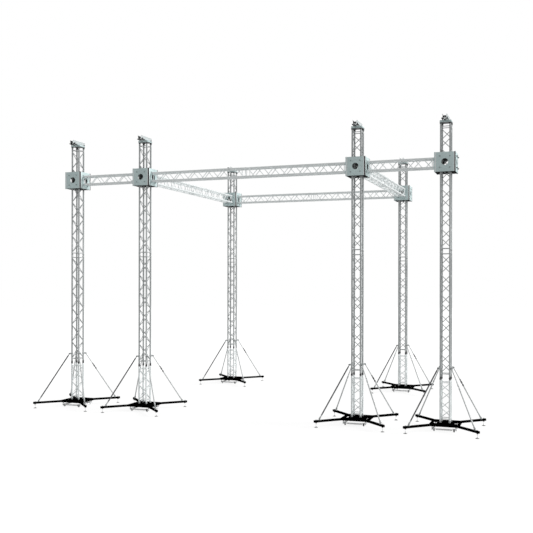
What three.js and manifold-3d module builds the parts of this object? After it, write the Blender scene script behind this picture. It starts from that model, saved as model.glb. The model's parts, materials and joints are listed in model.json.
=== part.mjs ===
// A ground-support stage roof: six lattice towers stand on outrigger bases, and a square
// roof grid of box trusses with two wings rides up them on sleeve blocks.
// Millimetres, +X right along the front line, +Y to the rear, +Z up, origin on the floor
// below the middle of the roof.
import * as THREE from 'three';
import { mergeVertices } from 'three/addons/utils/BufferGeometryUtils.js';
import Module from 'manifold-3d';

const wasm = await Module();
wasm.setup();

// Lengths of the roof spans, which set how far apart the towers stand
const spanLength = 3000;
const wingSpanLength = 1820;

// Heights above the floor, and how far the masts stand up past the middle of the roof
const hingeHeight = 1350;
const mastJointHeight = 4660;
const roofHeight = 6960;
const headroom = 980;

// Box truss, the same for masts and roof spans
const chordSpacing = 240;
const chordDiameter = 50;
const braceDepth = 22;
const endMargin = 80;
const mastPanels = 12;
const spanPanels = 12;
const wingPanels = 7;
const footPanels = 4;
const seam = 0.3;

// Mast foot and hinge
const footPlateSide = 330;
const footPlateThickness = 10;
const footMargin = 110;
const knuckleSide = 56;
const knuckleHeight = 80;
const knuckleMargin = 60;

// Outrigger base
const armTube = 60;
const armCentreHeight = 162;
const armReach = 1320;
const baseRingSpacing = 710;
const footReach = 1260;
const footPadDiameter = 100;
const footPadThickness = 8;
const spindleDiameter = 28;
const padSides = 8;
const spindleSides = 6;

// Braces from the arms up to the mast
const braceTubeDiameter = 36;
const braceSides = 6;
const braceFootReach = 1160;
const braceTopReach = 245;
const clampReach = 290;
const braceTopHeight = 1615;
const clampWidth = 44;
const clampHeight = 60;

// Castored undercarriage below the base
const dollySide = 640;
const dollyBar = 36;
const dollyHeight = 72;
const castorDiameter = 76;
const castorWidth = 30;
const castorInset = 80;
const castorSides = 8;

// Sleeve block
const plateWidth = 500;
const plateHeight = 506;
const plateThickness = 10;
const plateReach = 275;
const guideThickness = 12;
const windowDiameter = 174;
const windowSides = 12;

// Head with its two chain pulleys
const headFrameHeight = 52;
const headFrameSide = 296;
const headFrameWall = 30;
const troughLength = 620;
const troughHeight = 186;
const troughFloorWidth = 62;
const troughMouthWidth = 124;
const troughWall = 7;
const troughNotch = 128;
const pulleyOffset = 252;
const pulleyDiameter = 64;
const pulleyGroove = 44;
const pulleySideClearance = 2;
const pulleyAxleDiameter = 20;
const pulleyAxleClearance = 0.5;
const pulleyRise = 118;
const pulleySides = 8;
const pulleyPinSides = 6;

// Worked out from the driving dimensions
const eighthTurn = Math.PI / 4;
const quarterTurn = Math.PI / 2;
const sixthTurn = Math.PI / 3;
const chordOffset = chordSpacing / 2;
const chordRadius = chordDiameter / 2;
const trussSide = chordSpacing + chordDiameter * Math.cos(sixthTurn / 4);
const blockAcross = 2 * plateReach;
const mainBay = blockAcross + 2 * spanLength + 3 * seam;
const wingBay = blockAcross + wingSpanLength + 2 * seam;
const mastTopHeight = roofHeight + headroom;
const troughFlareShare = (troughMouthWidth - troughFloorWidth) / troughHeight;
const pulleySeatWidth = troughFloorWidth + troughFlareShare * (pulleyRise - pulleyDiameter / 2) - 2 * troughWall;
const pulleyWidth = pulleySeatWidth - 2 * pulleySideClearance;
const armTop = armCentreHeight + armTube / 2;
const armBottom = armCentreHeight - armTube / 2;
const footPlateTop = armTop + seam + footPlateThickness;
const knuckleTop = hingeHeight + knuckleHeight / 2;
const knuckleBottom = hingeHeight - knuckleHeight / 2;
const bite = 1;

const aluminium = { color: 0xb9bfc0, roughness: 0.45, metalness: 0.7 };
const blackSteel = { color: 0x141414, roughness: 0.6, metalness: 0.3 };
const plateAluminium = { color: 0x9dabac, roughness: 0.55, metalness: 0.5 };
const darkRubber = { color: 0x1d1f20, roughness: 0.8, metalness: 0 };

const roof = new THREE.Group();

function addMesh(name, geometry, look) {
  geometry.computeVertexNormals();
  const mesh = new THREE.Mesh(geometry, new THREE.MeshStandardMaterial(look));
  mesh.name = name;
  roof.add(mesh);
  return mesh;
}

// A closed solid from a three.js geometry
function solidOf(geometry) {
  geometry.deleteAttribute('normal');
  geometry.deleteAttribute('uv');
  const merged = mergeVertices(geometry);
  const vertProperties = new Float32Array(merged.attributes.position.array);
  const triVerts = new Uint32Array(merged.index.array);
  return new wasm.Manifold(new wasm.Mesh({ numProp: 3, vertProperties, triVerts }));
}

function geometryOf(solid) {
  const mesh = solid.getMesh();
  const geometry = new THREE.BufferGeometry();
  geometry.setAttribute('position', new THREE.BufferAttribute(mesh.vertProperties, 3));
  geometry.setIndex(new THREE.BufferAttribute(mesh.triVerts, 1));
  return geometry;
}

function joined(solids) {
  return solids.reduce((whole, piece) => whole.add(piece)).asOriginal().simplify();
}

function boxSolid(width, depth, bottom, top, x = 0, y = 0, turn = 0) {
  const box = new THREE.BoxGeometry(width, depth, top - bottom);
  box.rotateZ(turn);
  box.translate(x, y, (bottom + top) / 2);
  return solidOf(box);
}

// A round bar with a few flats, standing on its own axis until it is turned
function barGeometry(diameter, length, sides) {
  const bar = new THREE.CylinderGeometry(diameter / 2, diameter / 2, length, sides);
  return bar;
}

function uprightBar(diameter, bottom, top, sides, x, y) {
  const bar = barGeometry(diameter, top - bottom, sides);
  bar.rotateX(quarterTurn);
  bar.translate(x, y, (bottom + top) / 2);
  return solidOf(bar);
}

function barAlongX(diameter, length, sides, x, y, z) {
  const bar = barGeometry(diameter, length, sides);
  bar.rotateZ(quarterTurn);
  bar.translate(x, y, z);
  return solidOf(bar);
}

function barBetween(start, end, diameter, sides) {
  const along = new THREE.Vector3().subVectors(end, start);
  const bar = barGeometry(diameter, along.length(), sides);
  const up = new THREE.Vector3(0, 1, 0);
  bar.applyQuaternion(new THREE.Quaternion().setFromUnitVectors(up, along.clone().normalize()));
  const middle = new THREE.Vector3().addVectors(start, end).multiplyScalar(1 / 2);
  bar.translate(middle.x, middle.y, middle.z);
  return solidOf(bar);
}

// A point at a distance from the tower's axis along one of its four diagonals
function onDiagonal(quarter, reach, height) {
  const angle = eighthTurn + quarter * quarterTurn;
  return new THREE.Vector3(reach * Math.cos(angle), reach * Math.sin(angle), height);
}

const quarters = [0, 1, 2, 3];

// The six corners of a chord's section, in sixths of a turn from the corner that faces
// the truss's own axis
const corners = [0, 1, 2, 3, 4, 5];
const [inner, left, leftBack, back, rightBack, right] = corners;

// One welded length of box truss along +Z from the origin: four chords, a zigzag of
// diagonals on each face and a square of cross bars at each end. Every diagonal grows out
// of the chord's own surface: its root is the triangle between a point on one edge of the
// chord and two points on the next, and a node's edge points serve both faces that meet
// there. Neighbouring faces zigzag in step, so diagonals meet in pairs at each node.
function trussGeometry(length, lowMargin, highMargin, panels) {
  const positions = [];
  const triangles = [];
  const pitch = (length - lowMargin - highMargin) / panels;

  function vertex(chord, corner, height) {
    const chordAngle = eighthTurn + (chord + 2) * quarterTurn;
    const cornerAngle = chordAngle + 3 * sixthTurn + corner * sixthTurn;
    const chordReach = chordOffset * Math.SQRT2;
    const x = chordReach * Math.cos(chordAngle) + chordRadius * Math.cos(cornerAngle);
    const y = chordReach * Math.sin(chordAngle) + chordRadius * Math.sin(cornerAngle);
    positions.push(x, y, height);
    return positions.length / 3 - 1;
  }

  function quad(a, b, c, d) {
    triangles.push(a, b, c, a, c, d);
  }

  function endRing(chord, height) {
    return corners.map((corner) => vertex(chord, corner, height));
  }

  // The edge points of one chord at one level: a lower and an upper root on either side
  function chordNode(chord, level) {
    const height = lowMargin + level * pitch;
    const braced = level % 2 === chord % 2;
    const node = { level, middle: vertex(chord, inner, height) };
    node.low = braced || level === 0 ? vertex(chord, inner, height - braceDepth) : node.middle;
    node.high = braced || level === panels ? vertex(chord, inner, height + braceDepth) : node.middle;
    node.left = vertex(chord, left, height);
    node.right = vertex(chord, right, height);
    return node;
  }

  function closeChord(bottom, top, nodes) {
    let below = { high: bottom[inner], left: bottom[left], right: bottom[right] };
    const stations = [...nodes, { low: top[inner], left: top[left], right: top[right] }];
    for (const above of stations) {
      quad(below.right, below.high, above.low, above.right);
      quad(below.high, below.left, above.left, above.low);
      triangles.push(below.left, bottom[leftBack], above.left);
      triangles.push(bottom[rightBack], below.right, above.right);
      below = above;
    }
    triangles.push(top[left], bottom[leftBack], top[leftBack]);
    triangles.push(bottom[rightBack], top[right], top[rightBack]);
    quad(bottom[leftBack], bottom[back], top[back], top[leftBack]);
    quad(bottom[back], bottom[rightBack], top[rightBack], top[back]);
    for (const corner of [left, leftBack, back, rightBack]) {
      triangles.push(bottom[inner], bottom[corner + 1], bottom[corner]);
      triangles.push(top[inner], top[corner], top[corner + 1]);
    }
  }

  // A strut from the right side of one chord to the left side of the next. Its upper and
  // lower sides twist a little, and each is split along the diagonal that keeps it full.
  function strut(from, fromRoot, to, toRoot) {
    const [a, b] = fromRoot === 'upper' ? [from.middle, from.high] : [from.low, from.middle];
    const [c, d] = toRoot === 'upper' ? [to.middle, to.high] : [to.low, to.middle];
    quad(a, b, d, c);
    if (fromRoot === 'upper') {
      quad(from.right, a, c, to.left);
      quad(b, from.right, to.left, d);
    } else {
      quad(a, c, to.left, from.right);
      quad(from.right, to.left, d, b);
    }
  }

  const chords = quarters.map((chord) => {
    const nodes = [];
    for (let level = 0; level <= panels; level += 1) {
      const atEnd = level === 0 || level === panels;
      if (atEnd || level % 2 === chord % 2) nodes.push(chordNode(chord, level));
    }
    closeChord(endRing(chord, 0), endRing(chord, length), nodes);
    return nodes;
  });

  const nodeAt = (chord, level) => chords[chord].find((node) => node.level === level);
  for (const chord of quarters) {
    const next = (chord + 1) % quarters.length;
    strut(nodeAt(chord, 0), 'lower', nodeAt(next, 0), 'lower');
    strut(nodeAt(chord, panels), 'upper', nodeAt(next, panels), 'upper');
    for (let level = 0; level < panels; level += 1) {
      if (level % 2 === chord % 2) {
        strut(nodeAt(chord, level), 'upper', nodeAt(next, level + 1), 'lower');
      } else {
        strut(nodeAt(chord, level + 1), 'lower', nodeAt(next, level), 'upper');
      }
    }
  }

  const geometry = new THREE.BufferGeometry();
  geometry.setAttribute('position', new THREE.Float32BufferAttribute(positions, 3));
  geometry.setIndex(triangles);
  return geometry;
}

// Mast foot: plate, short lattice and the four hinge knuckles
function mastBaseGeometry() {
  const length = knuckleBottom - footPlateTop;
  const lattice = trussGeometry(length, footMargin, knuckleMargin, footPanels);
  lattice.translate(0, 0, footPlateTop);
  const pieces = [solidOf(lattice)];
  pieces.push(boxSolid(footPlateSide, footPlateSide, armTop + seam, footPlateTop + bite));
  for (const quarter of quarters) {
    const place = onDiagonal(quarter, chordOffset * Math.SQRT2, 0);
    pieces.push(boxSolid(knuckleSide, knuckleSide, knuckleBottom - bite, knuckleTop - seam, place.x, place.y));
  }
  return geometryOf(joined(pieces));
}

function mastLowerGeometry() {
  const length = mastJointHeight - knuckleTop - seam;
  const lattice = trussGeometry(length, knuckleMargin, endMargin, mastPanels);
  lattice.translate(0, 0, knuckleTop);
  return lattice;
}

function mastUpperGeometry() {
  const length = mastTopHeight - mastJointHeight - seam;
  const lattice = trussGeometry(length, endMargin, endMargin, mastPanels);
  lattice.translate(0, 0, mastJointHeight);
  return lattice;
}

// Outrigger base: ring, four arms with their spindle feet and braces, and the dolly
function footSolids(quarter) {
  const foot = onDiagonal(quarter, footReach, 0);
  return [
    uprightBar(spindleDiameter, footPadThickness - bite, armBottom + bite, spindleSides, foot.x, foot.y),
    uprightBar(footPadDiameter, 0, footPadThickness, padSides, foot.x, foot.y),
  ];
}

function braceSolids(quarter) {
  const turn = eighthTurn + quarter * quarterTurn;
  const lower = onDiagonal(quarter, braceFootReach, armCentreHeight);
  const upper = onDiagonal(quarter, braceTopReach, braceTopHeight);
  const chordFace = chordOffset * Math.SQRT2 + chordRadius + seam;
  const clampMiddle = onDiagonal(quarter, (chordFace + clampReach) / 2, 0);
  const clampLength = clampReach - chordFace;
  const clampBottom = braceTopHeight - clampHeight / 2;
  const clampTop = braceTopHeight + clampHeight / 2;
  return [
    barBetween(lower, upper, braceTubeDiameter, braceSides),
    boxSolid(clampLength, clampWidth, clampBottom, clampTop, clampMiddle.x, clampMiddle.y, turn),
  ];
}

function dollySolids() {
  const barMiddle = (dollySide - dollyBar) / 2;
  const opening = dollySide - 2 * dollyBar;
  const bottom = dollyHeight - dollyBar;
  const frame = boxSolid(dollySide, dollySide, bottom, dollyHeight);
  const solids = [frame.subtract(boxSolid(opening, opening, bottom - bite, dollyHeight + bite))];
  for (const quarter of quarters) {
    const corner = onDiagonal(quarter, barMiddle * Math.SQRT2, 0);
    solids.push(boxSolid(dollyBar, dollyBar, bottom, armBottom + bite, corner.x, corner.y));
    const wheelX = Math.sign(corner.x) * (barMiddle - castorInset);
    const wheelZ = castorDiameter / 2 * Math.cos(Math.PI / castorSides);
    const wheel = barGeometry(castorDiameter, castorWidth, castorSides);
    wheel.rotateY(Math.PI / castorSides);
    wheel.rotateZ(quarterTurn);
    wheel.translate(wheelX, corner.y, wheelZ);
    solids.push(solidOf(wheel));
  }
  return solids;
}

function baseFrameGeometry() {
  const ringOuter = baseRingSpacing + armTube;
  const ringInner = baseRingSpacing - armTube;
  const ring = boxSolid(ringOuter, ringOuter, armBottom, armTop);
  const solids = [ring.subtract(boxSolid(ringInner, ringInner, armBottom - bite, armTop + bite))];
  for (const quarter of quarters) {
    solids.push(...footSolids(quarter), ...braceSolids(quarter));
  }
  for (const turn of [eighthTurn, -eighthTurn]) {
    solids.push(boxSolid(2 * armReach, armTube, armBottom, armTop, 0, 0, turn));
  }
  solids.push(...dollySolids());
  return geometryOf(joined(solids));
}

// Head: a frame on the four chords, with a flared trough along Y that holds the pulleys
function troughSection() {
  const floorHalf = troughFloorWidth / 2;
  const mouthHalf = troughMouthWidth / 2;
  const shape = new THREE.Shape();
  shape.moveTo(-floorHalf, 0);
  shape.lineTo(floorHalf, 0);
  shape.lineTo(mouthHalf, troughHeight);
  shape.lineTo(mouthHalf - troughWall, troughHeight);
  shape.lineTo(floorHalf - troughWall, troughWall);
  shape.lineTo(troughWall - floorHalf, troughWall);
  shape.lineTo(troughWall - mouthHalf, troughHeight);
  shape.lineTo(-mouthHalf, troughHeight);
  shape.closePath();
  return shape;
}

function headGeometry() {
  const frameTop = mastTopHeight + headFrameHeight;
  const innerSide = headFrameSide - 2 * headFrameWall;
  const frame = boxSolid(headFrameSide, headFrameSide, mastTopHeight, frameTop);
  const frameOpening = boxSolid(innerSide, innerSide, mastTopHeight - bite, frameTop - troughWall);
  const trough = new THREE.ExtrudeGeometry(troughSection(), { depth: troughLength, bevelEnabled: false });
  trough.rotateX(quarterTurn);
  trough.translate(0, troughLength / 2, frameTop - bite);
  let head = solidOf(trough);
  const pulleyHeight = frameTop + pulleyRise;
  for (const end of [-1, 1]) {
    const notchMiddle = end * (troughLength / 2 - troughNotch / 2 + bite);
    const notchDepth = troughNotch + bite;
    head = head.subtract(
      boxSolid(troughFloorWidth - 2 * troughWall, notchDepth, frameTop - 2 * bite, frameTop + troughWall + bite, 0, notchMiddle),
    );
    const pinLength = troughFloorWidth + troughFlareShare * pulleyRise - troughWall;
    head = head.add(barAlongX(pulleyAxleDiameter, pinLength, pulleyPinSides, 0, end * pulleyOffset, pulleyHeight));
  }
  return geometryOf(frame.subtract(frameOpening).add(head));
}

// Pulley: a grooved wheel with an open bore, on its own axis along X
function pulleyGeometry() {
  const halfWidth = pulleyWidth / 2;
  const outer = pulleyDiameter / 2;
  const groove = pulleyGroove / 2;
  const bore = (pulleyAxleDiameter / 2 + pulleyAxleClearance) / Math.cos(Math.PI / pulleySides);
  const profile = [
    new THREE.Vector2(bore, -halfWidth),
    new THREE.Vector2(outer, -halfWidth),
    new THREE.Vector2(groove, 0),
    new THREE.Vector2(outer, halfWidth),
    new THREE.Vector2(bore, halfWidth),
    new THREE.Vector2(bore, -halfWidth),
  ];
  const wheel = new THREE.LatheGeometry(profile, pulleySides);
  wheel.rotateZ(quarterTurn);
  return geometryOf(solidOf(wheel));
}

// Sleeve block: four coupling plates with a round window, open at the corners, on two guide
// plates whose square mouths run against the corners of the mast
function sleeveBlockGeometry() {
  const bottom = roofHeight - plateHeight / 2;
  const top = roofHeight + plateHeight / 2;
  const cavity = blockAcross - 2 * plateThickness;
  const mouth = trussSide + 2 * seam;
  const guideSide = cavity + 2 * bite;
  const acrossX = boxSolid(blockAcross, plateWidth, bottom, top);
  const acrossY = boxSolid(plateWidth, blockAcross, bottom, top);
  let block = acrossX.subtract(boxSolid(cavity, blockAcross, bottom - bite, top + bite));
  block = block.add(acrossY.subtract(boxSolid(blockAcross, cavity, bottom - bite, top + bite)));
  block = block.add(boxSolid(guideSide, guideSide, bottom, bottom + guideThickness));
  block = block.add(boxSolid(guideSide, guideSide, top - guideThickness, top));
  block = block.subtract(boxSolid(mouth, mouth, bottom - bite, top + bite));
  const across = barAlongX(windowDiameter, blockAcross + 2 * bite, windowSides, 0, 0, roofHeight);
  const through = barGeometry(windowDiameter, blockAcross + 2 * bite, windowSides);
  through.translate(0, 0, roofHeight);
  block = block.subtract(across).subtract(solidOf(through));
  return geometryOf(block);
}

const mainHalf = mainBay / 2;
const wingReach = mainHalf + wingBay;
const towers = [
  { name: 'left_wing', x: -wingReach, y: -mainHalf },
  { name: 'front_left', x: -mainHalf, y: -mainHalf },
  { name: 'front_right', x: mainHalf, y: -mainHalf },
  { name: 'right_wing', x: wingReach, y: -mainHalf },
  { name: 'rear_left', x: -mainHalf, y: mainHalf },
  { name: 'rear_right', x: mainHalf, y: mainHalf },
];

for (const tower of towers) {
  const pieces = [
    addMesh(`base_frame_${tower.name}`, baseFrameGeometry(), blackSteel),
    addMesh(`mast_base_${tower.name}`, mastBaseGeometry(), aluminium),
    addMesh(`mast_lower_${tower.name}`, mastLowerGeometry(), aluminium),
    addMesh(`mast_upper_${tower.name}`, mastUpperGeometry(), aluminium),
    addMesh(`head_${tower.name}`, headGeometry(), plateAluminium),
    addMesh(`sleeve_block_${tower.name}`, sleeveBlockGeometry(), plateAluminium),
  ];
  for (const piece of pieces) piece.position.set(tower.x, tower.y, 0);
  for (const end of [-1, 1]) {
    const place = end < 0 ? 'front' : 'rear';
    const pulley = addMesh(`pulley_${place}_${tower.name}`, pulleyGeometry(), darkRubber);
    pulley.position.set(tower.x, tower.y + end * pulleyOffset, mastTopHeight + headFrameHeight + pulleyRise);
  }
}

// Roof span between two blocks, in a number of equal lengths of truss
function addSpan(name, from, to, lengths, pieceLength, panels) {
  const start = new THREE.Vector2(from.x, from.y);
  const end = new THREE.Vector2(to.x, to.y);
  const along = new THREE.Vector2().subVectors(end, start).normalize();
  for (let index = 0; index < lengths; index += 1) {
    const geometry = trussGeometry(pieceLength, endMargin, endMargin, panels);
    geometry.rotateY(quarterTurn);
    geometry.rotateZ(along.angle());
    const begin = plateReach + seam + index * (pieceLength + seam);
    const label = lengths > 1 ? `${name}_${index + 1}` : name;
    const mesh = addMesh(label, geometry, aluminium);
    mesh.position.set(start.x + along.x * begin, start.y + along.y * begin, roofHeight);
  }
}

const [leftWing, frontLeft, frontRight, rightWing, rearLeft, rearRight] = towers;
addSpan('wing_span_left', leftWing, frontLeft, 1, wingSpanLength, wingPanels);
addSpan('front_span', frontLeft, frontRight, 2, spanLength, spanPanels);
addSpan('wing_span_right', frontRight, rightWing, 1, wingSpanLength, wingPanels);
addSpan('rear_span', rearLeft, rearRight, 2, spanLength, spanPanels);
addSpan('side_span_left', frontLeft, rearLeft, 2, spanLength, spanPanels);
addSpan('side_span_right', frontRight, rearRight, 2, spanLength, spanPanels);

export default roof;
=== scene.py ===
import json
import math

import bpy
from mathutils import Matrix, Vector

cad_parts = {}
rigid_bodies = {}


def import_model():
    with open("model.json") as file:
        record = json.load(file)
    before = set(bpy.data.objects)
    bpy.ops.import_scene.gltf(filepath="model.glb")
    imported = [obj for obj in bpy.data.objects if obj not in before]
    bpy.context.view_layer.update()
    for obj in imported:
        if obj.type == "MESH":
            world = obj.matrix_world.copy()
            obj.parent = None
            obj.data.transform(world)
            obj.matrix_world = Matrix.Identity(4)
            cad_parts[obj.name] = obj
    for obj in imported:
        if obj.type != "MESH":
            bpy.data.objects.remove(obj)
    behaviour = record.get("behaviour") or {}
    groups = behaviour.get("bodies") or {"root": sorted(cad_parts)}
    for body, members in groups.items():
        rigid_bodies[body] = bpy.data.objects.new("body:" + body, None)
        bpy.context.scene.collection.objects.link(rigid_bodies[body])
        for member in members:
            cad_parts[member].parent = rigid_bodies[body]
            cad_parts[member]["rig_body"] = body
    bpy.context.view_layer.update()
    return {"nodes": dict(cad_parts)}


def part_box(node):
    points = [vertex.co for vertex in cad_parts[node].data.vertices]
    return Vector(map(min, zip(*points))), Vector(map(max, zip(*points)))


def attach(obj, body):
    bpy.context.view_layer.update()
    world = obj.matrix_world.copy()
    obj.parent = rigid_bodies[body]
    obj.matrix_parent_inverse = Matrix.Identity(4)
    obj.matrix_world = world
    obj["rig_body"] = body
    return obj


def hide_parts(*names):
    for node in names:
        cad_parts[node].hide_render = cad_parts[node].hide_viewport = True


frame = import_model()

# The view: a level view camera set up in front of the right half of the stage,
# a little above half the height of the roof, with its back shifted to frame it.
camera_data = bpy.data.cameras.new("view_camera")
camera_data.sensor_width = 36
camera_data.lens = 51.33
camera_data.shift_x = -0.03526
camera_data.shift_y = 0.02769
camera_data.clip_end = 200
camera = bpy.data.objects.new("view_camera", camera_data)
camera.location = (8.3228, -23.3822, 3.8652)
camera.rotation_euler = (math.pi / 2, -0.00195, 0.34064)
bpy.context.scene.collection.objects.link(camera)
bpy.context.scene.camera = camera
bpy.context.scene.view_settings.view_transform = "Standard"

# Outrigger base: a square ring and four diagonal arms of 60 mm box tube, cut, welded flat
# and powder coated black, with a gusset plate on each corner of the ring, a ribbed seat
# for the mast in the middle and a threaded boss through each arm for its spindle.
quarters = (0, 1, 2, 3)
quarter_turn = math.pi / 2
eighth_turn = math.pi / 4
arm_tube = 0.060
arm_height = 0.162
arm_top = 0.192
arm_reach = 1.320
arm_root = 0.150
ring_spacing = 0.710
ring_tube = 0.058
gusset_leg = 0.190
gusset_sheet = 0.006
gusset_height = arm_top - 0.0015
seat_side = 0.420
seat_sheet = 0.008
seat_high = arm_top - 0.0055
seat_low = arm_top - 0.0545
rib_reach = 0.150
rib_length = 0.300
rib_sheet = 0.012
rib_rise = 0.046
spindle_reach = 1.260

towers = {}
for tower in ("left_wing", "front_left", "front_right", "right_wing", "rear_left", "rear_right"):
    block_low, block_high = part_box(f"sleeve_block_{tower}")
    towers[tower] = ((block_low.x + block_high.x) / 2, (block_low.y + block_high.y) / 2, 0)


def put_down_all():
    """Nothing stays selected, so that the next operation acts on the new part alone."""
    if bpy.context.mode != "OBJECT":
        bpy.ops.object.mode_set(mode="OBJECT")
    bpy.ops.object.select_all(action="DESELECT")


def open_part(kind, action="SELECT"):
    """Opens the part at hand with all or none of its points, edges or faces picked."""
    bpy.ops.object.mode_set(mode="EDIT")
    bpy.ops.mesh.select_mode(type=kind)
    bpy.ops.mesh.select_all(action=action)


def close_part():
    """Goes back from editing a part to the part as a whole."""
    bpy.ops.object.mode_set(mode="OBJECT")


def pick_edges(part, wanted):
    """Opens a part with the edges picked whose two ends pass a test."""
    open_part("EDGE", "DESELECT")
    close_part()
    points = part.data.vertices
    for edge in part.data.edges:
        edge.select = wanted(points[edge.vertices[0]].co, points[edge.vertices[1]].co)
    bpy.ops.object.mode_set(mode="EDIT")


def pick_faces(part, wanted):
    """Opens a part with the faces picked whose centre and normal pass a test."""
    open_part("FACE", "DESELECT")
    close_part()
    for face in part.data.polygons:
        face.select = wanted(face.center, face.normal)
    bpy.ops.object.mode_set(mode="EDIT")


def draw_out(shift):
    """Extrudes what is picked in the open part."""
    bpy.ops.mesh.extrude_region_move(TRANSFORM_OT_translate={"value": shift})


def settle(part):
    """Puts a part's place and turn into its mesh."""
    part.data.transform(part.matrix_basis)
    part.matrix_basis = Matrix.Identity(4)
    return part


def move_to(part, place=(0, 0, 0), turn=(0, 0, 0)):
    """Turns a part about the origin and moves it to its place."""
    part.location = place
    part.rotation_euler = turn
    return settle(part)


def twin_of(part):
    """A second part with a mesh of its own."""
    twin = part.copy()
    twin.data = part.data.copy()
    bpy.context.scene.collection.objects.link(twin)
    return twin


def copy_of(part, place=(0, 0, 0), turn=(0, 0, 0)):
    """A copy of a part, turned and moved to its place."""
    return move_to(twin_of(part), place, turn)


def clear_away(*models):
    """Removes models that have been copied to all their places."""
    for model in models:
        bpy.data.objects.remove(model)


def welded(parts, name):
    """Joins parts into one piece, smooth across its shallow edges."""
    put_down_all()
    for part in parts:
        part.select_set(True)
    bpy.context.view_layer.objects.active = parts[0]
    if len(parts) > 1:
        bpy.ops.object.join()
    bpy.ops.object.shade_smooth_by_angle(angle=0.6)
    whole = bpy.context.object
    whole.name = name
    whole.data.name = name
    return whole


def sawn_block(size):
    """The sharp block that a bar or a box tube is shaped from."""
    put_down_all()
    bpy.ops.mesh.primitive_cube_add(size=1, scale=size)
    bpy.ops.object.transform_apply(location=False, rotation=False, scale=True)
    return bpy.context.object


def bar(size, place=(0, 0, 0), turn=(0, 0, 0), corner=0.0015, rounds=2):
    """A solid bar or plate with all its edges broken."""
    part = sawn_block(size)
    open_part("EDGE")
    bpy.ops.mesh.bevel(offset=corner, segments=rounds, affect="EDGES")
    close_part()
    return move_to(part, place, turn)


def box_tube(size, place=(0, 0, 0), turn=(0, 0, 0), corner=0.006, wall=0.004, depth=0.03):
    """A box tube along its longest side, with rounded corners and open ends."""
    part = sawn_block(size)
    axis = size.index(max(size))
    half = max(size) / 2
    pick_edges(part, lambda start, end: abs(start[axis] - end[axis]) > half)
    bpy.ops.mesh.bevel(offset=corner, segments=3, affect="EDGES")
    pick_faces(part, lambda centre, normal: abs(normal[axis]) > 0.9)
    bpy.ops.mesh.inset(thickness=wall, use_individual=True)
    bpy.ops.mesh.inset(thickness=0.0002, depth=-depth, use_individual=True)
    close_part()
    return move_to(part, place, turn)


def turned(outline, sides=24, bored=False):
    """A part turned on a lathe about Z: outline lists radius and height from end to end."""
    put_down_all()
    bpy.ops.mesh.primitive_circle_add(
        vertices=sides, radius=outline[0][0], fill_type="NOTHING" if bored else "NGON"
    )
    part = bpy.context.object
    part.location.z = outline[0][1]
    settle(part)
    open_part("VERT")
    steps = outline + outline[:1] if bored else outline
    for (radius, height), (next_radius, next_height) in zip(steps, steps[1:]):
        draw_out((0, 0, next_height - height))
        share = next_radius / radius
        if abs(share - 1) > 1e-6:
            middle = (0, 0, next_height)
            bpy.ops.transform.resize(value=(share, share, 1), center_override=middle)
    bpy.ops.mesh.select_all(action="SELECT")
    bpy.ops.mesh.remove_doubles(threshold=0.00002)
    bpy.ops.mesh.normals_make_consistent(inside=False)
    close_part()
    return part


def gusset(leg, rise, thickness):
    """A triangular plate with its right angle at the origin, in X and Y, flat on Z."""
    put_down_all()
    bpy.ops.mesh.primitive_circle_add(vertices=3, radius=1, fill_type="NGON")
    part = bpy.context.object
    corners = ((0, 0, 0), (leg, 0, 0), (0, rise, 0))
    for point, corner in zip(part.data.vertices, corners):
        point.co = corner
    open_part("VERT")
    draw_out((0, 0, thickness))
    bpy.ops.mesh.select_all(action="SELECT")
    bpy.ops.mesh.normals_make_consistent(inside=False)
    bpy.ops.mesh.bevel(offset=0.0012, segments=1, affect="EDGES")
    close_part()
    return part


def on_side(quarter, reach, height=0.0):
    """A point straight out from the middle of one of a tower's four sides."""
    angle = quarter * quarter_turn
    return Vector((reach * math.cos(angle), reach * math.sin(angle), height))


def on_diagonal(quarter, reach, height=0.0):
    """A point out along one of a tower's four diagonals."""
    angle = eighth_turn + quarter * quarter_turn
    return Vector((reach * math.cos(angle), reach * math.sin(angle), height))


def finished(piece, name, finish, body="towers", node=None):
    """Names and coats a piece, and says what it rides on and which CAD node it replaces."""
    piece.name = name
    piece.data.name = name
    piece.data.materials.append(finish)
    if node:
        body = frame["nodes"][node]["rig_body"]
        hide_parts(node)
    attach(piece, body)


def stand_at_towers(parts, name, finish, node=None):
    """Joins the parts of a piece made at the origin and stands a copy at each tower."""
    model = welded(parts, name)
    for tower, place in towers.items():
        replaced = node and f"{node}_{tower}"
        finished(copy_of(model, place), f"{name}_{tower}", finish, node=replaced)
    clear_away(model)


def wire(tree, node, inputs):
    """Gives each input of a node a constant, or links it to the output it is given."""
    for socket, value in inputs.items():
        if isinstance(value, bpy.types.NodeSocket):
            tree.links.new(value, node.inputs[socket])
        else:
            node.inputs[socket].default_value = value
    return node


def add_node(tree, kind, inputs=None, **settings):
    """A new node with its settings made and its inputs wired."""
    node = tree.nodes.new(kind)
    for setting, value in settings.items():
        setattr(node, setting, value)
    return wire(tree, node, inputs or {})


def spread(tree, value, low, high, to_low=0.0, to_high=1.0, **settings):
    """A number that goes from to_low to to_high while a value goes from low to high."""
    return add_node(tree, "ShaderNodeMapRange", {
        "Value": value, "From Min": low, "From Max": high, "To Min": to_low, "To Max": to_high,
    }, **settings).outputs[0]


def combined(tree, operation, one, other):
    """The product, or the greater, of two numbers."""
    return add_node(tree, "ShaderNodeMath", {0: one, 1: other}, operation=operation).outputs[0]


def node_group(name, inlets, outlets):
    """An empty node group; inlets gives the kind of each inlet, outlets are numbers."""
    group = bpy.data.node_groups.new(name, "ShaderNodeTree")
    for inlet, kind in inlets.items():
        group.interface.new_socket(inlet, in_out="INPUT", socket_type=kind)
    for outlet in outlets:
        group.interface.new_socket(outlet, in_out="OUTPUT", socket_type="NodeSocketFloat")
    return group


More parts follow.
